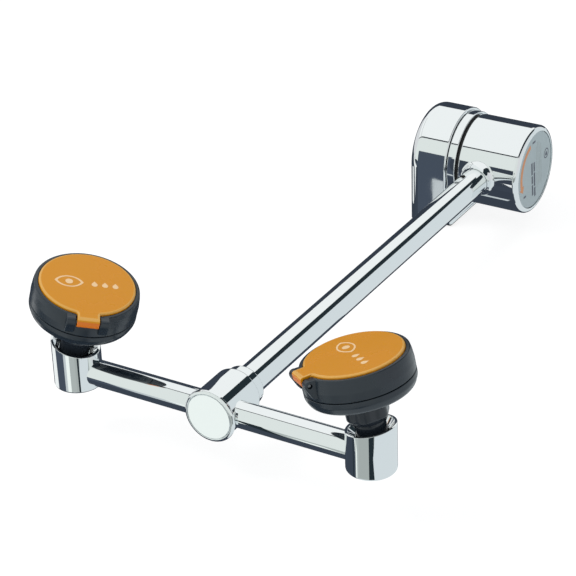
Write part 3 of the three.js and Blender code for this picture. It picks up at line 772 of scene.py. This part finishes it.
# ---------------------------------------------------------------- arm and crossbar
SIDE_RADIUS = 6.86
SIDE_BORE = 5.9
HUB_RADIUS = 13.2
HUB_FRONT = -7.1
HUB_BACK = 17
HUB_COLLAR_RADIUS = 10.9
HUB_COLLAR_BACK = 24.5
CAP_RADIUS = 14.2
CAP_EDGE = 1.6
CAP_FACE = 12.1
CAP_FRONT = -9.6
CUP_RADIUS = 12.45
CUP_BOTTOM = -8.4
CUP_RIM = 14.6
MOUTH_RADIUS = 11.25
SOCKET_RADIUS = 8.1
SOCKET_BOTTOM = -11       # along the head's axis, from the middle of the mouth
SOCKET_TOP = -4
CHAMBER_RADIUS = 6.6
CUP_FLOOR = 3             # thickness


def tube(name, radius, bore, start, end, matrix, node):
    profile = [(bore, start), (radius, start), (radius, end), (bore, end)]
    show(mesh_object(name, [lathe(profile)], matrix), "chrome", "chrome", "arm", node)


def tee():
    hub_profile = rounded([
        (0, HUB_FRONT), (HUB_RADIUS, HUB_FRONT, 0.5), (HUB_RADIUS, HUB_BACK, 0.9),
        (HUB_COLLAR_RADIUS, HUB_BACK, 0.15), (HUB_COLLAR_RADIUS, HUB_COLLAR_BACK, 0.9),
        (ARM_RADIUS + 0.05, HUB_COLLAR_BACK), (ARM_RADIUS + 0.05, HUB_BACK), (0, HUB_BACK),
    ])
    on_hub = at(*HUB) @ TO_Y
    show(mesh_object("tee_body", [lathe(hub_profile)], on_hub), "chrome", "chrome", "arm", "tee_hub")
    cap_profile = rounded([
        (0, HUB_FRONT - 0.3), (CAP_RADIUS - 0.9, HUB_FRONT - 0.3, 0.2), (CAP_RADIUS, HUB_FRONT - 1.0, 0.4),
        *arc((CAP_RADIUS - CAP_EDGE, CAP_FRONT + CAP_EDGE), CAP_EDGE, 0, -90, 8),
        (CAP_FACE + 0.3, CAP_FRONT + 0.05, 0.1), (CAP_FACE + 0.1, CAP_FRONT + 0.7),
        (CAP_FACE - 0.1, CAP_FRONT, 0.15), (0, CAP_FRONT),
    ])
    show(mesh_object("tee_front_cap", [lathe(cap_profile)], on_hub), "chrome", "chrome", "arm", "tee_cap")


def cup(side, place):
    """Cup with a mouth cut square to the leaning head. place is the head's own frame."""
    centre = middle(side + "_cup")
    base = Vector((centre.x, HUB.y, HUB.z))
    lean = place.to_3x3()
    up = lean.col[2]
    rim = base + Z * CUP_RIM

    def upright(radius, z):
        turns = (2 * math.pi * i / STEPS for i in range(STEPS))
        return [base + Vector((radius * math.cos(t), radius * math.sin(t), z)) for t in turns]

    def under_rim(radius, depth):
        """A ring on the upright wall, depth below the sloping mouth."""
        ring = upright(radius, 0)
        for point in ring:
            flat = point - rim
            point.z = rim.z - (flat.x * up.x + flat.y * up.y) / up.z - depth
        return ring

    def leaning(radius, height):
        """A ring square to the head's axis, with its points in the same order as the upright ones."""
        ring = []
        for i in range(STEPS):
            t = 2 * math.pi * i / STEPS
            flat = Vector((math.cos(t), math.sin(t), 0))
            flat -= up * flat.dot(up)
            ring.append(rim + flat.normalized() * radius + up * height)
        return ring

    floor = CUP_BOTTOM + CUP_FLOOR
    rings = [upright(0.01, floor), upright(CHAMBER_RADIUS, floor), leaning(CHAMBER_RADIUS, SOCKET_BOTTOM)]
    rings += [leaning(SOCKET_RADIUS, SOCKET_BOTTOM), leaning(SOCKET_RADIUS, SOCKET_TOP)]
    rings += [leaning(MOUTH_RADIUS, -0.6)]
    rings += [leaning(MOUTH_RADIUS + 0.05, -0.15), leaning(MOUTH_RADIUS + 0.2, 0)]
    rings += [under_rim(CUP_RADIUS - 0.25, 0), under_rim(CUP_RADIUS - 0.07, 0.08)]
    rings += [under_rim(CUP_RADIUS, 0.3)]
    rings += [upright(CUP_RADIUS, CUP_BOTTOM + 0.9), upright(CUP_RADIUS - 0.1, CUP_BOTTOM + 0.5)]
    rings += [upright(CUP_RADIUS - 0.35, CUP_BOTTOM + 0.15), upright(CUP_RADIUS - 0.8, CUP_BOTTOM)]
    rings += [upright(0.01, CUP_BOTTOM)]
    show(mesh_object(side + "_cup_body", [loft(rings)]), "chrome", "chrome", "arm", side + "_cup")


def arm_and_crossbar():
    low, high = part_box("arm_tube")
    tube("arm_pipe", ARM_RADIUS, ARM_BORE, low.y / MM, high.y / MM, at(HUB.x, 0, HUB.z) @ TO_Y, "arm_tube")
    tee()
    for side in ("left", "right"):
        low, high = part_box(side + "_side_tube")
        tube(side + "_crossbar_pipe", SIDE_RADIUS, SIDE_BORE, low.x / MM, high.x / MM,
             at(0, HUB.y, HUB.z) @ TO_X, side + "_side_tube")


# ---------------------------------------------------------------- spray heads
# In the head's own frame: z = 0 is the cover's top, and the hinge lies towards +x.
HEAD_RADIUS = 27
COVER_RADIUS = 24.2
COVER_SEAT = 24.6
COVER_THICKNESS = 2
COVER_REST = -2.3         # the ledge that the shut cover lies over
HOUSING_TOP = -1.2
PIN_RADIUS = 0.9
PIN_R = 27.2
PIN_Z = -3.4
KNUCKLE = 2.4
TAB_HALF = 5.45
LUG_INNER = 5.8
LUG_OUTER = 10.6
LUG_BOTTOM = -10.5
NOTCH_BOTTOM = -6.2       # of the cut between the lugs, for the cover's knuckle
STEM_RADIUS = 7.6
SEAM = -12.4
BOWL_BOTTOM = -20.6
BOWL_FLOOR = -18.2
BOWL_BORE = 20.6
SPIGOT_RADIUS = 22.2      # the bowl's collar, inside the housing
HOUSING_BORE = 22.6
PLATE_RADIUS = 22.1
PLATE_TOP = -7.4
PLATE_BOTTOM = -9.2
SPRAY_HOLE = 1.1
FLANGE_RADIUS = 9.6       # the stem's flange, inside the bowl
FLANGE_TOP = -15.9
STEM_BORE = 4.2
GROOVE_RADIUS = 6.3       # the stem's O-ring groove
LIP_INNER = 20.8          # the cover's lip, inside the housing
LIP_OUTER = 22.2
LIP_BOTTOM = -4.5
NUT_TOP = -20.9
NUT_BOTTOM = -33.9
NUT_LOBES = 6
NUT_WAVE = 0.45           # half the depth of the hollows between the lobes
NUT_RADIUS = 10.8
NUT_FOOT = 9              # its radius at the lower edge
STEM_BOTTOM = -47.25


def head_housing(side, place):
    profile = rounded([
        (HOUSING_BORE, SEAM), (HEAD_RADIUS, SEAM, 0.5), (HEAD_RADIUS + 0.1, -8, 3),
        (HEAD_RADIUS - 0.2, -4.2, 3), (HEAD_RADIUS - 0.7, HOUSING_TOP, 2.4),
        (COVER_SEAT, HOUSING_TOP, 0.15), (COVER_SEAT, COVER_REST), (HOUSING_BORE, COVER_REST, 0.3),
    ])
    made = mesh_object(side + "_housing", [lathe(profile)], place)
    outside = HEAD_RADIUS + 6
    notch = box_shape((PIN_R - KNUCKLE - 0.3, -LUG_INNER, NOTCH_BOTTOM), (outside, LUG_INNER, 1))
    top_notch = box_shape((20, -LUG_INNER, COVER_REST), (outside, LUG_INNER, 1))
    combine(made, [notch, top_notch], "DIFFERENCE", place)
    root = HOUSING_BORE + 0.8
    outline = [(root, LUG_BOTTOM), (HEAD_RADIUS - 0.2, LUG_BOTTOM), (PIN_R + KNUCKLE - 0.15, PIN_Z - 1)]
    outline += arc((PIN_R, PIN_Z), KNUCKLE, -15, 110, 14) + [(COVER_SEAT, HOUSING_TOP), (root, HOUSING_TOP)]
    for start, end in ((LUG_INNER, LUG_OUTER), (-LUG_OUTER, -LUG_INNER)):
        lug = mesh_object("lug", [side_prism(outline, start, end)], place)
        edge_bevel(lug, 0.6, 3)
        pin_hole = moved(rod(PIN_RADIUS + 0.3, -15, 15, 32), at(PIN_R, 0, PIN_Z) @ TO_Y)
        combine(lug, [pin_hole], "DIFFERENCE", place)
        join_mesh(made, lug)
    return show(made, "charcoal", "charcoal", "arm", side + "_head_housing")


def join_mesh(made, other):
    """Adds another object's mesh to a piece as it is."""
    both = bmesh.new()
    both.from_mesh(made.data)
    both.from_mesh(other.data)
    both.to_mesh(made.data)
    both.free()
    bpy.data.objects.remove(other)


def head_bowl(side, place):
    profile = rounded([
        (STEM_RADIUS + 0.3, BOWL_BOTTOM), (21.8, BOWL_BOTTOM, 2.5), (25.4, -19.2, 4),
        (HEAD_RADIUS, -15.6, 3), (HEAD_RADIUS, SEAM - 0.4, 0.5), (SPIGOT_RADIUS, SEAM - 0.4),
        (SPIGOT_RADIUS, PLATE_BOTTOM - 0.3), (BOWL_BORE, PLATE_BOTTOM - 0.3), (BOWL_BORE, -16.2),
        (BOWL_BORE - 1.8, BOWL_FLOOR), (STEM_RADIUS + 0.3, BOWL_FLOOR),
    ])
    made = mesh_object(side + "_bowl", [lathe(profile)], place)
    show(made, "charcoal", "charcoal", "arm", side + "_head_bowl")


def spray_plate(side, place):
    profile = rounded([
        (0, PLATE_BOTTOM), (PLATE_RADIUS, PLATE_BOTTOM), (PLATE_RADIUS, PLATE_TOP, 0.4), (0, PLATE_TOP),
    ])
    made = mesh_object(side + "_plate", [lathe(profile, 96)], place)
    holes = []
    for orbit, count in ((0, 1), (7, 6), (14, 12)):
        for i in range(count):
            turn = 2 * math.pi * i / count
            hole = rod(SPRAY_HOLE, PLATE_BOTTOM - 1, PLATE_TOP + 1, 20)
            holes.append(moved(hole, at(orbit * math.cos(turn), orbit * math.sin(turn))))
    combine(made, [merged(holes)], "DIFFERENCE", place)
    show(made, "charcoal", "charcoal", "arm", side + "_spray_plate")


def adapter(side, place):
    profile = rounded([
        (STEM_BORE, STEM_BOTTOM), (STEM_RADIUS, STEM_BOTTOM, 0.5), (STEM_RADIUS, STEM_BOTTOM + 2),
        (GROOVE_RADIUS, STEM_BOTTOM + 2), (GROOVE_RADIUS, STEM_BOTTOM + 4), (STEM_RADIUS, STEM_BOTTOM + 4),
        (STEM_RADIUS, BOWL_FLOOR + 0.3), (FLANGE_RADIUS, BOWL_FLOOR + 0.3), (FLANGE_RADIUS, FLANGE_TOP),
        (STEM_BORE, FLANGE_TOP),
    ])
    made = mesh_object(side + "_stem", [lathe(profile, 96)], place)
    show(made, "black_plastic", "black_plastic", "arm", side + "_adapter")


def lock_nut(side, place):
    """Grip nut with six rounded lobes that fade out at its lower edge."""
    levels = rounded([
        (STEM_RADIUS + 0.3, NUT_BOTTOM), (NUT_FOOT, NUT_BOTTOM, 0.5), (NUT_RADIUS, NUT_BOTTOM + 2.4, 1.5),
        (NUT_RADIUS, NUT_TOP, 0.3), (STEM_RADIUS + 0.3, NUT_TOP),
    ])
    rings = []
    for radius, height in levels:
        ring = []
        for i in range(STEPS):
            turn = 2 * math.pi * i / STEPS
            waist = min(1, max(0, (radius - NUT_FOOT) / (NUT_RADIUS - NUT_FOOT)))
            lobed = radius - NUT_WAVE * waist * (1 - math.cos(NUT_LOBES * turn))
            ring.append((lobed * math.cos(turn), lobed * math.sin(turn), height))
        rings.append(ring)
    made = mesh_object(side + "_grip_nut", [loft(rings)], place)
    show(made, "black_plastic", "black_plastic", "arm", side + "_lock_nut")


def hinge_pin(side, place):
    end = LUG_OUTER - 1
    profile = rounded([(0, -end), (PIN_RADIUS, -end, 0.25), (PIN_RADIUS, end, 0.25), (0, end)])
    made = mesh_object(side + "_pin", [lathe(profile, 32)], place @ at(PIN_R, 0, PIN_Z) @ TO_Y)
    show(made, "steel", "steel", "arm", side + "_hinge_pin")


def cover_outline(inset):
    """Plan of the cover: a disc that runs into the hinge tab through small hollow corners."""
    hollow = 1.6
    radius = COVER_RADIUS - inset
    half = TAB_HALF - inset
    reach = COVER_RADIUS + hollow
    corner_v = TAB_HALF + hollow
    corner_u = math.sqrt(reach ** 2 - corner_v ** 2)
    meet = math.degrees(math.atan2(corner_v, corner_u))
    disc = arc((0, 0), radius, meet, 360 - meet, 120)
    lower = arc((corner_u, -corner_v), hollow + inset, 180 - meet, 90, 6)
    upper = arc((corner_u, corner_v), hollow + inset, -90, meet - 180, 6)
    end = PIN_R + KNUCKLE - 1.2 - inset
    return disc + lower[1:] + [(end, -half), (end, half)] + upper[:-1]


def cover(side, place):
    edge = 1.1
    rings = [[(u, v, -COVER_THICKNESS) for u, v in cover_outline(0)]]
    for i in range(5):
        t = math.pi / 2 * i / 4
        inset = edge * (1 - math.cos(t))
        rings.append([(u, v, -edge * (1 - math.sin(t))) for u, v in cover_outline(inset)])
    lip_top = 0.1 - COVER_THICKNESS
    lip = lathe(rounded([
        (LIP_INNER, lip_top), (LIP_INNER, LIP_BOTTOM, 0.3),
        (LIP_OUTER, LIP_BOTTOM, 0.3), (LIP_OUTER, lip_top),
    ]))
    made = mesh_object(side + "_flip_cover", [loft(rings, capped=True), lip], place)
    outline = [(23, -COVER_THICKNESS), (PIN_R - KNUCKLE, -COVER_THICKNESS)]
    outline += arc((PIN_R, PIN_Z), KNUCKLE, 180, 360, 18)
    outline += [(PIN_R + KNUCKLE, -1.3), (PIN_R + KNUCKLE - 0.3, -0.6)]
    outline += [(PIN_R + KNUCKLE - 1.2, -0.06), (23, -0.06)]
    knuckle = mesh_object("knuckle", [side_prism(outline, -TAB_HALF, TAB_HALF)], place)
    edge_bevel(knuckle, 0.3, 3, 50)
    join_mesh(made, knuckle)
    show(made, "orange_plastic", "orange_plastic", side + "_cover", side + "_cover")
    made.data.materials.append(materials["orange_painted_highlight"])
    made.data.materials.append(materials["orange_painted_shade"])
    to_head = place.inverted()
    for polygon in made.data.polygons:
        spot = to_head @ (polygon.center / MM)
        facing_up = abs((to_head.to_3x3() @ polygon.normal).z)
        # The faces of the cover's bevelled rim take the lighter orange, a painted highlight.
        on_painted_highlight_rim = spot.length > COVER_RADIUS - 2 and -0.9 < spot.z < -0.01
        if on_painted_highlight_rim and facing_up > 0.3:
            polygon.material_index = 1
        # The front faces of the hinge tab take the darker orange, painted shade.
        painted_shade_on_knuckle = spot.x > PIN_R and spot.z < -1.3
        if painted_shade_on_knuckle:
            polygon.material_index = 2
    cover_mark(side, place)


def cover_mark(side, place):
    """A plain eye and three water drops in a row, read from the side opposite the hinge."""
    low, high = -0.02, PRINT
    half_width, half_height, line = 7.2, 4.4, 0.8
    outer = eye_outline(half_width, half_height)
    inner = eye_outline(half_width - 1.7 * line, half_height - line)
    iris = arc((0, 0), 1.9, 0, 342, 19)
    eye = [band(outer, inner, low, high), prism(iris, low, high)]
    shapes = [moved(shape, at(-9.2)) for shape in eye]
    shapes += [prism(drop_outline(u, -0.7, 1.5), low, high) for u in (3.4, 8.6, 13.8)]
    turned = place @ Matrix.Rotation(math.radians(90), 4, "Z")
    show(mesh_object(side + "_cover_mark", shapes, turned), "print_pale", "orange_plastic", side + "_cover")


def spray_heads():
    for side in ("left", "right"):
        place = head_frame(side)
        cup(side, place)
        for piece in (head_housing, head_bowl, spray_plate, adapter, lock_nut, hinge_pin, cover):
            piece(side, place)


# ---------------------------------------------------------------- scene
def paint_frame():
    """The small inner pieces keep their CAD meshes, with a real finish."""
    for part in frame["record"]["subparts"]:
        node = frame["nodes"][part["node"]]
        node.data.materials.clear()
        node.data.materials.append(materials[part["material_slot"]])
        node.data.set_sharp_from_angle(angle=math.radians(35))


add_camera()
add_studio()
materials = make_materials()
paint_frame()
valve_base()
collar_ring()
barrel()
label_plate()
arm_and_crossbar()
spray_heads()
